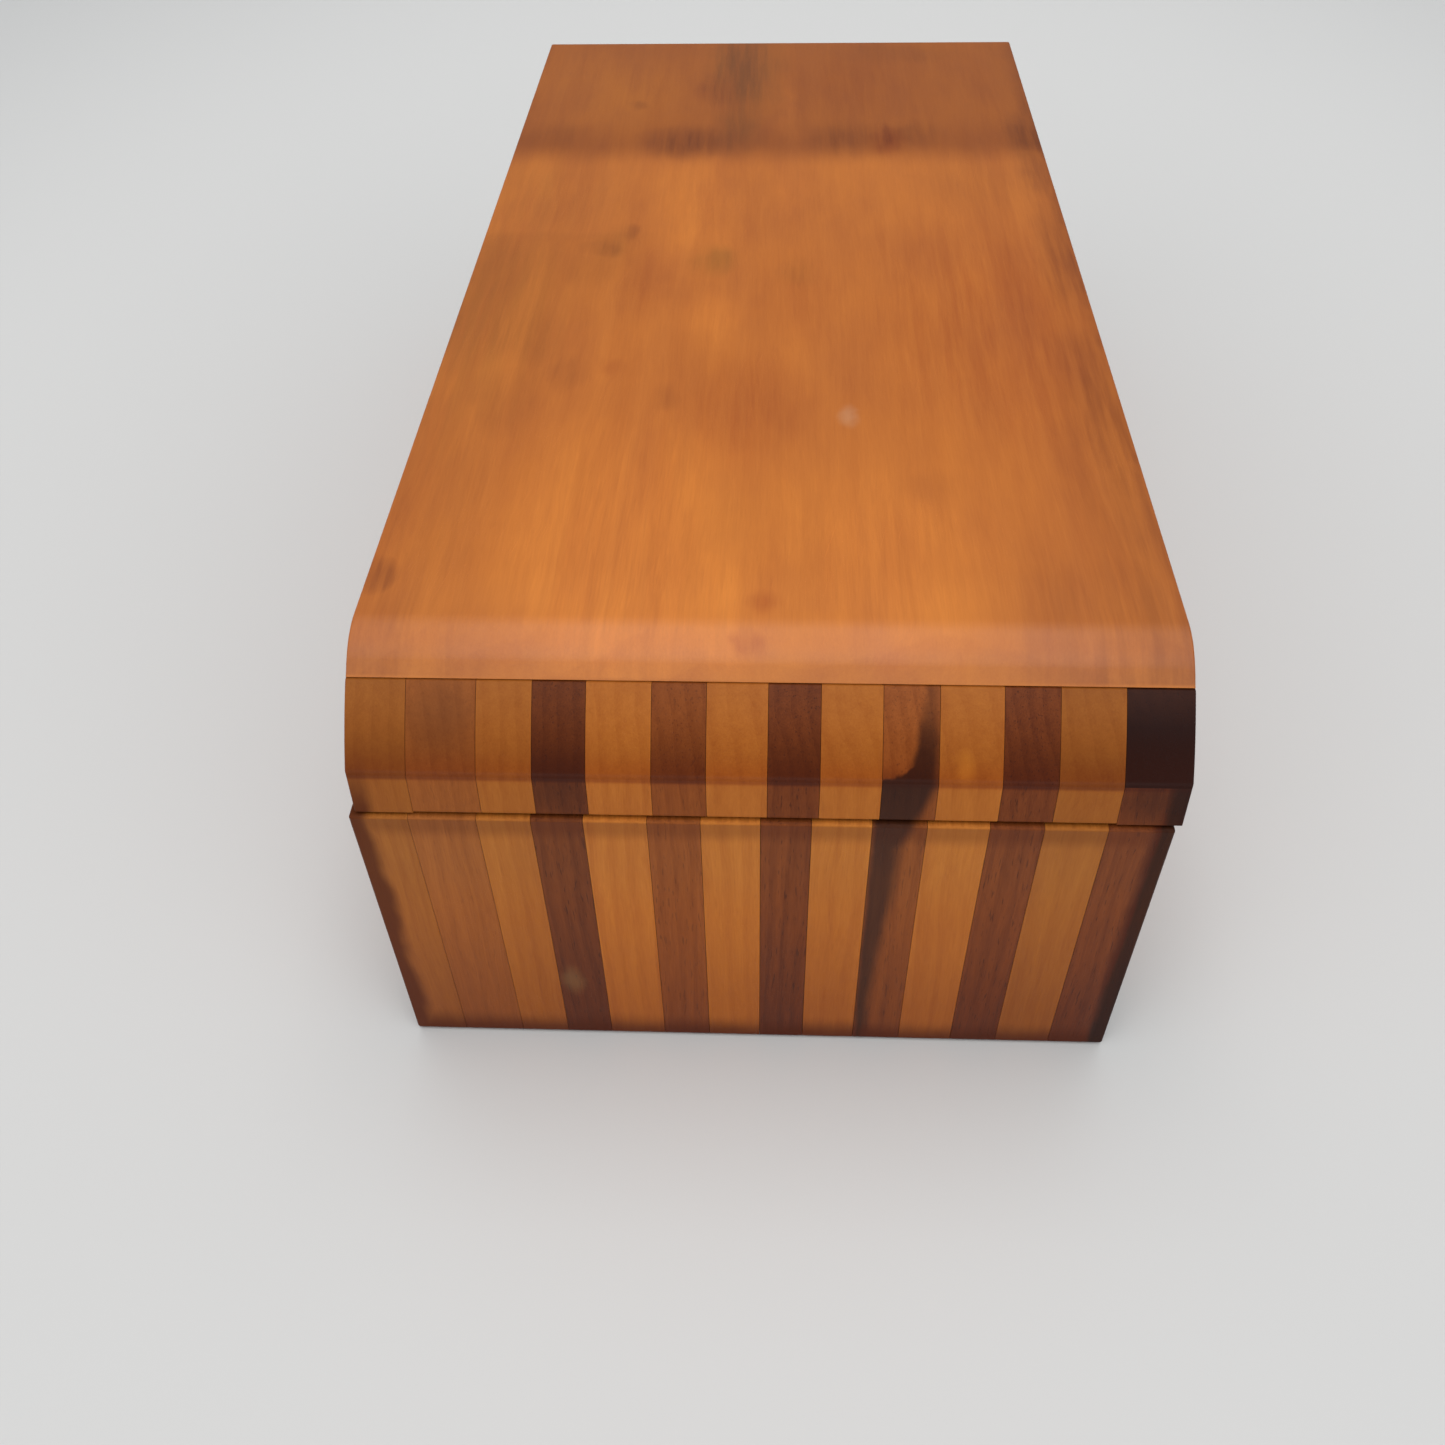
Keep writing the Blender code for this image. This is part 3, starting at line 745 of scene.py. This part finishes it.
def outer_finish(graph, place, colour, made, coat, saw=SAW_ACROSS):
    """Painted shade on the edges, bare insides, rims with saw marks, fine scratches, and the
    varnish.
    """
    ragged = graph.noise(place, *RAGGED_EDGE).outputs["Fac"]
    where = graph.group(places_group, {"Place": place, "Ragged": ragged})
    # Painted shade on the rounded corners, along the base and under the lid's edge
    shaded_edges = graph.math("MAXIMUM", where["Corner"], where["Base"])
    joint = graph.math("MULTIPLY", where["Joint"], joint_shade_share)
    shaded_edges = graph.math("MAXIMUM", shaded_edges, joint)
    outside = graph.math("SUBTRACT", 1.0, where["Inside"])
    shaded_edges = graph.math("MULTIPLY", graph.math("MULTIPLY", shaded_edges, outside), edge_shade_share)
    colour = graph.mix(shaded_edges, colour, EDGE_SHADE, "DARKEN")
    bare = graph.math("MAXIMUM", where["Inside"], where["Sawn"])
    lighter = graph.mix(bare_lightness, colour, BARE_WOOD, "SCREEN")
    colour = graph.mix(graph.math("MULTIPLY", where["Inside"], bare_share), colour, lighter)
    marks = graph.step(graph.noise(place, *saw).outputs["Fac"], *SAW_LIMITS)
    marks = graph.math("MULTIPLY", marks, where["Sawn"])
    colour = graph.tint(graph.math("MULTIPLY", marks, saw_share), colour, SAW_TINT)
    height = graph.math("SUBTRACT", made["Height"], graph.math("MULTIPLY", marks, saw_depth))
    scratches = graph.group(scratch_group, {"Place": place})["Mask"]
    scratches = graph.math("MULTIPLY", scratches, outside)
    cut = graph.math("MULTIPLY", scratches, scratch_depth)
    height = graph.math("SUBTRACT", height, cut)
    colour = graph.tint(graph.math("MULTIPLY", scratches, scratch_share), colour, SCRATCH_TINT)
    worn = graph.math("MAXIMUM", bare, graph.math("MULTIPLY", shaded_edges, shaded_edge_wear))
    varnish(graph, colour, height, made["Cloud"], worn, coat)


def toned(wood, tone):
    """A wood with its three colours made this much darker or lighter."""
    colours, figure = wood
    colours = [(*[channel * tone for channel in colour[:3]], 1) for colour in colours]
    return colours, figure


def painted_crease_shade(graph, z, colour, share):
    """Painted shade that deepens down the nose towards the crease, with a darker line just above
    it.
    """
    above = graph.step(z, *CREASE_SHADE_START)
    mask = graph.math("MULTIPLY", graph.step(z, *CREASE_SHADE_END), above)
    line = graph.math("MULTIPLY", graph.step(z, *CREASE_LINE_END), above)
    colour = graph.tint(line, colour, CREASE_LINE_TINT)
    return graph.mix(graph.math("MULTIPLY", mask, share), colour, CREASE_SHADE)


def heart_wedge(graph, place, colour):
    """A sliver of dark heartwood, widest at the crease and torn out over the nose."""
    x, _, z = graph.apart(graph.waver(place, *WEDGE_WAVER))
    left = graph.math("ADD", *[graph.ramp(z, *run) for run in WEDGE_LEFT])
    right = graph.math("ADD", *[graph.ramp(z, *run) for run in WEDGE_RIGHT])
    past_left = graph.step(graph.math("SUBTRACT", x, left), *WEDGE_LEFT_SOFTNESS)
    before_right = graph.step(graph.math("SUBTRACT", right, x), *WEDGE_RIGHT_SOFTNESS)
    mask = graph.math("MULTIPLY", past_left, before_right)
    fade = graph.math("MULTIPLY", graph.step(z, *WEDGE_FADE), wedge_fade_share)
    strength = graph.math("SUBTRACT", graph.ramp(z, *WEDGE_STRENGTH), fade)
    mask = graph.math("MULTIPLY", mask, strength)
    paler = graph.math("MULTIPLY", graph.step(z, *BY_WEDGE_RISE), by_wedge_share)
    colour = graph.tint(paler, colour, BY_WEDGE_TINT)
    return graph.mix(mask, colour, HEARTWOOD)


def dark_last_strip(graph, place, colour):
    """The last strip is nearly black on the nose, and darkened by its outer edge as painted shade.
    """
    x, _, z = graph.apart(graph.waver(place, *LAST_STRIP_WAVER))
    nose = graph.math("GREATER_THAN", z, crease_z)
    nose = graph.math("MULTIPLY", nose, graph.ramp(z, *LAST_NOSE_STRENGTH))
    past = graph.math("SUBTRACT", x, graph.ramp(z, *LAST_EDGE))
    outer = graph.math("MULTIPLY", graph.step(past, *LAST_EDGE_SOFTNESS), last_edge_share)
    return graph.mix(graph.math("MAXIMUM", nose, outer), colour, HEARTWOOD)


def front_marks(graph, place, number, colour):
    """Small marks that only one strip has."""
    marks = [mark[1:] for mark in FRONT_MARKS if mark[0] == number]
    if not marks:
        return colour
    soft = graph.waver(place, *FRONT_MARK_WAVER)
    for centre, reach, strength, tint in marks:
        values = {"Place": soft, "Centre": centre, "Reach": reach}
        mask = graph.group(spot_group, values)["Mask"]
        colour = graph.mix(graph.math("MULTIPLY", mask, strength), colour, tint)
    return colour


def make_strip_finish(number, wood, tone, crease_shade_share):
    material, graph = new_material(f"strip_{number:02d}")
    offset = [number * step for step in STRIP_STEP]
    place, made = wood_colour(graph, toned(wood, tone), GRAIN_UP, offset, STRIP_PITH)
    z = graph.apart(place)["Z"]
    colour = made["Color"]
    if number == wedge_strip:
        colour = heart_wedge(graph, place, colour)
    if number == last_strip:
        colour = dark_last_strip(graph, place, colour)
    colour = front_marks(graph, place, number, colour)
    # Painted shade above the crease
    colour = painted_crease_shade(graph, z, colour, crease_shade_share)
    on_lid = graph.step(z, body_rim, lid_rim)
    colour = graph.tint(on_lid, colour, LID_TINT)
    # Painted reflection: cooler and lighter on the nose, the band and the upper body
    colour = graph.tint(graph.step(z, *NOSE_RISE), colour, NOSE_REFLECTION)
    band = graph.math("MULTIPLY", graph.step(z, *BAND_FALL), on_lid)
    colour = graph.tint(band, colour, BAND_REFLECTION)
    high = graph.math("MULTIPLY", graph.step(z, *HIGH_RISE), graph.step(z, lid_rim, body_rim))
    colour = graph.tint(high, colour, HIGH_REFLECTION)
    low_tint = LOW_TINT_ON_DARK if wood is DARK else LOW_TINT
    colour = graph.tint(graph.step(z, *LOW_FALL), colour, low_tint)
    on_nose = graph.math("GREATER_THAN", z, crease_z)
    thin = graph.math("MULTIPLY", on_nose, graph.step(z, *NOSE_COAT_FALL))
    outer_finish(graph, place, colour, made, graph.spread(thin, strip_coat, nose_coat))
    return material


def make_top_finish():
    """The top board: amber, muddier in a band at the rear, and spotted with age."""
    material, graph = new_material("top_board")
    place, made = wood_colour(graph, AMBER, GRAIN_BACK, TOP_PLACE)
    soft = graph.waver(place, *TOP_SPOT_WAVER)
    edge = graph.apart(graph.waver(place, *TOP_BAND_WAVER))["Y"]
    outer = graph.step(graph.apart(place)["Z"], *OUTER_START)
    rear = graph.math("MULTIPLY", graph.step(edge, *REAR_START), outer)
    colour = graph.tint(rear, made["Color"], REAR_TINT)
    rear_edge = graph.math("MULTIPLY", rear, graph.step(edge, *REAR_EDGE_END))
    colour = graph.tint(rear_edge, colour, REAR_EDGE_TINT)
    # Painted highlight: lighter just before the nose, and cooler on it
    before_nose = graph.step(edge, *BEFORE_NOSE_START)
    before_nose = graph.math("MULTIPLY", before_nose, graph.step(edge, *BEFORE_NOSE_END))
    colour = graph.tint(before_nose, colour, BEFORE_NOSE_HIGHLIGHT)
    colour = graph.tint(graph.step(edge, *ON_NOSE_START), colour, ON_NOSE_HIGHLIGHT)
    # A faint darker band on the left of the top board
    left_band = graph.step(edge, *LEFT_BAND_START)
    left_band = graph.math("MULTIPLY", left_band, graph.step(edge, *LEFT_BAND_END))
    to_left = graph.step(graph.apart(soft)["X"], *LEFT_BAND_SIDE)
    colour = graph.tint(graph.math("MULTIPLY", left_band, to_left), colour, LEFT_BAND_TINT)
    across = graph.apart(place)["X"]
    arris = graph.spread(graph.step(across, *RIGHT_ARRIS_START), *RIGHT_ARRIS_SHARES)
    right = graph.math("MULTIPLY", graph.step(across, *RIGHT_START), arris)
    colour = graph.tint(graph.math("MULTIPLY", right, outer), colour, RIGHT_TINT)
    streaks = graph.step(graph.noise(place, *SOAKING).outputs["Fac"], *SOAKING_LIMITS)
    soaked = graph.math("MULTIPLY", graph.spread(streaks, *SOAKED_SHARES), outer)
    for tint, spots in (TOP_PALE, TOP_RED, TOP_OLIVE, TOP_BROWN, TOP_GREY):
        mask = graph.math("MULTIPLY", spot_mask(graph, soft, spots), soaked)
        colour = graph.tint(mask, colour, tint)
    fleck = spot_mask(graph, graph.waver(place, *FLECK_WAVER), [FLECK])
    fleck = graph.math("MULTIPLY", fleck, outer)
    colour = graph.mix(fleck, colour, FLECK_COLOUR)
    outer_finish(graph, place, colour, made, top_coat)
    return material


def make_board_finish(name, wood, grain, offset, saw=SAW_ACROSS):
    material, graph = new_material(name)
    place, made = wood_colour(graph, wood, grain, offset)
    outer_finish(graph, place, made["Color"], made, board_coat, saw)
    return material


def make_brass_finish():
    material, graph = new_material("old_brass")
    place = graph.millimetres()
    tarnish = graph.noise(place, *TARNISH).outputs["Fac"]
    dirt = graph.step(graph.noise(place, *DIRT).outputs["Fac"], *DIRT_LIMITS)
    colour = graph.mix(graph.step(tarnish, *TARNISH_LIMITS), BRASS, TARNISHED_BRASS)
    colour = graph.mix(graph.math("MULTIPLY", dirt, dirt_share), colour, GRIME)
    dull = graph.spread(tarnish, *BRASS_DULLNESS)
    values = {"Base Color": colour, "Metallic": 1.0, "Roughness": dull}
    shader = graph.add("ShaderNodeBsdfPrincipled", values)
    graph.add("ShaderNodeOutputMaterial", {"Surface": shader.outputs[0]})
    return material


# Pieces


def easing_inset(z):
    """How far the rounding of the base or of the rim has drawn the body in at a height."""
    below = min(max(base_easing - z, 0), base_easing)
    above = min(max(z - (body_rim - rim_easing), 0), rim_easing)
    inset = base_easing - math.sqrt(base_easing**2 - below**2)
    return inset + rim_easing - math.sqrt(rim_easing**2 - above**2)


def draw_out(piece, chosen, kept, sharp):
    """Scales the points that chosen picks, by their place in millimetres, about a sharp place."""
    bpy.ops.object.mode_set(mode="EDIT")
    bpy.ops.mesh.select_all(action="DESELECT")
    bpy.ops.object.mode_set(mode="OBJECT")
    for vertex in piece.data.vertices:
        vertex.select = chosen(*(vertex.co / MM))
    bpy.ops.object.mode_set(mode="EDIT")
    bpy.ops.transform.resize(value=kept, center_override=Vector(sharp) * MM)
    bpy.ops.object.mode_set(mode="OBJECT")


def crisper_corner(piece, side):
    """The outer corner of the first or last strip, drawn out nearly to a sharp edge."""
    reach = corner_easing + near_enough
    for level in sorted({round(vertex.co.z / MM, 2) for vertex in piece.data.vertices}):

        def by_the_corner(x, y, z):
            return round(z, 2) == level and half_width - side * x < reach and y - front_y < reach

        inset = easing_inset(level)
        sharp = (side * (half_width - inset), front_y + inset, level)
        draw_out(piece, by_the_corner, (corner_kept, corner_kept, 1), sharp)


def crisper_base(piece):
    """The base's rounded edge, drawn out a little on each side that the piece has."""
    reach = base_easing + near_enough
    low = reach * base_kept
    draw_out(piece, lambda x, y, z: z < reach, (1, 1, base_kept), (0, 0, 0))
    for end in (front_y, rear_y):

        def by_the_end(x, y, z):
            return z < low and abs(end - y) < reach

        draw_out(piece, by_the_end, (1, base_kept, 1), (0, end, 0))
    for side in (-half_width, half_width):

        def by_the_side(x, y, z):
            return z < low and abs(side - x) < reach

        draw_out(piece, by_the_side, (base_kept, 1, 1), (side, 0, 0))


def finished_copy(node):
    """A merged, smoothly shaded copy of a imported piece, which stands for it."""
    source = frame["nodes"][node]
    bpy.ops.object.select_all(action="DESELECT")
    source.select_set(True)
    bpy.context.view_layer.objects.active = source
    bpy.ops.object.duplicate()
    piece = bpy.context.object
    piece.name = node + "_finished"
    body = source["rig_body"]
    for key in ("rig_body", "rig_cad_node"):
        del piece[key]
    piece.parent = None
    bpy.ops.object.mode_set(mode="EDIT")
    bpy.ops.mesh.select_all(action="SELECT")
    bpy.ops.mesh.customdata_custom_splitnormals_clear()
    bpy.ops.mesh.remove_doubles(threshold=merge_distance * MM)
    bpy.ops.mesh.dissolve_limited(angle_limit=math.radians(flat_angle))
    bpy.ops.object.mode_set(mode="OBJECT")
    bpy.context.tool_settings.mesh_select_mode = (True, False, False)
    if node in CORNER_STRIPS:
        crisper_corner(piece, CORNER_STRIPS[node])
    if node.startswith("body_") and node != "body_bottom_board":
        crisper_base(piece)
    bpy.ops.object.shade_smooth_by_angle(angle=math.radians(smooth_angle))
    weighted = piece.modifiers.new("flat faces stay flat", "WEIGHTED_NORMAL")
    weighted.keep_sharp = True
    bpy.ops.object.modifier_apply(modifier=weighted.name)
    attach(piece, body)
    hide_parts(node)
    return piece


def dress(node, material):
    piece = finished_copy(node)
    piece.data.materials.clear()
    piece.data.materials.append(material)
    return piece


def dress_strips():
    for number, (wood, tone, crease_shade_share) in enumerate(STRIPS, start=1):
        finish = make_strip_finish(number, wood, tone, crease_shade_share)
        dress(f"body_front_strip_{number:02d}", finish)
        dress(f"lid_front_strip_{number:02d}", finish)


def dress_boards():
    sides = make_board_finish("side_boards", WALL, GRAIN_BACK, SIDES_PLACE, SAW_ALONG)
    back = make_board_finish("back_end", WALL, GRAIN_ACROSS, BACK_PLACE)
    bottom = make_board_finish("bottom_board", PLAIN, GRAIN_BACK, BOTTOM_PLACE)
    dress("lid_top_board", make_top_finish())
    for side in ("body_left_side", "body_right_side", "lid_left_side", "lid_right_side"):
        dress(side, sides)
    dress("body_back_end", back)
    dress("lid_back_end", back)
    dress("body_bottom_board", bottom)


def dress_hinges():
    brass = make_brass_finish()
    for node in frame["nodes"]:
        if slots[node] == "brass":
            dress(node, brass)


# Floor, light and camera


def make_floor():
    bpy.ops.mesh.primitive_plane_add(size=floor_size)
    floor = bpy.context.object
    floor.name = "floor"
    material, graph = new_material("pale_floor")
    ground = graph.add("ShaderNodeTexCoord").outputs["Object"]
    distance = graph.vector("LENGTH", graph.vector("MULTIPLY", ground, FLOOR_STRETCH))
    # Painted shade: the floor darker far from the box
    colour = graph.mix(graph.step(distance, *FLOOR_SHADE_FADE), NEAR_FLOOR, SHADED_FAR_FLOOR)
    values = {"Base Color": colour, "Roughness": floor_dullness}
    shader = graph.add("ShaderNodeBsdfPrincipled", values)
    graph.add("ShaderNodeOutputMaterial", {"Surface": shader.outputs[0]})
    floor.data.materials.append(material)


def make_world():
    """A pale room, darker on the side where the viewer stands."""
    world = bpy.data.worlds.new("pale_room")
    bpy.context.scene.world = world
    world.use_nodes = True
    world.node_tree.nodes.clear()
    graph = Graph(world.node_tree)
    direction = graph.add("ShaderNodeTexCoord").outputs["Generated"]
    room = graph.step(graph.vector("DOT_PRODUCT", direction, ROOM), *ROOM_RISE)
    strength = graph.math("ADD", graph.math("MULTIPLY", room, room_light), room_shade)
    viewer = graph.step(graph.vector("DOT_PRODUCT", direction, VIEWER), *VIEWER_RISE)
    shadow = graph.math("MULTIPLY", viewer, viewer_shadow)
    strength = graph.math("MULTIPLY", strength, graph.math("SUBTRACT", 1.0, shadow))
    beyond = graph.vector("DOT_PRODUCT", direction, BEYOND)
    strength = graph.math("MULTIPLY", strength, graph.ramp(beyond, *BEYOND_LIGHT))
    above = graph.step(graph.vector("DOT_PRODUCT", direction, (0, 0, 1)), *ABOVE_RISE)
    sideways = graph.math("ABSOLUTE", graph.vector("DOT_PRODUCT", direction, (1, 0, 0)))
    glow = graph.math("MULTIPLY", above, graph.step(sideways, *SIDEWAYS_FALL))
    strength = graph.math("ADD", strength, graph.math("MULTIPLY", glow, above_light))
    seen = graph.add("ShaderNodeLightPath").outputs["Is Camera Ray"]
    strength = graph.add("ShaderNodeMix", {0: seen, 2: strength, 3: seen_strength}).outputs[0]
    sky = graph.add("ShaderNodeBackground", {"Color": SKY, "Strength": strength})
    graph.add("ShaderNodeOutputWorld", {"Surface": sky.outputs[0]})


def make_lamp():
    """One soft lamp, overhead."""
    data = bpy.data.lights.new("overhead", "AREA")
    data.shape = "RECTANGLE"
    data.size, data.size_y = LAMP_SIZE
    data.energy = lamp_power
    lamp = bpy.data.objects.new("overhead", data)
    bpy.context.scene.collection.objects.link(lamp)
    lamp.location = (0, 0, lamp_height)


def make_camera():
    data = bpy.data.cameras.new("camera")
    data.sensor_width = sensor_width
    data.lens = sensor_width * focal_pixels / photo_side
    data.clip_start = 0.01
    data.clip_end = 20
    camera = bpy.data.objects.new("camera", data)
    bpy.context.scene.collection.objects.link(camera)
    camera.location = CAMERA_PLACE
    camera.rotation_euler = [math.radians(angle) for angle in CAMERA_TURN]
    bpy.context.scene.camera = camera


dress_strips()
dress_boards()
dress_hinges()
make_floor()
make_world()
make_lamp()
make_camera()
bpy.context.scene.view_settings.view_transform = "Standard"
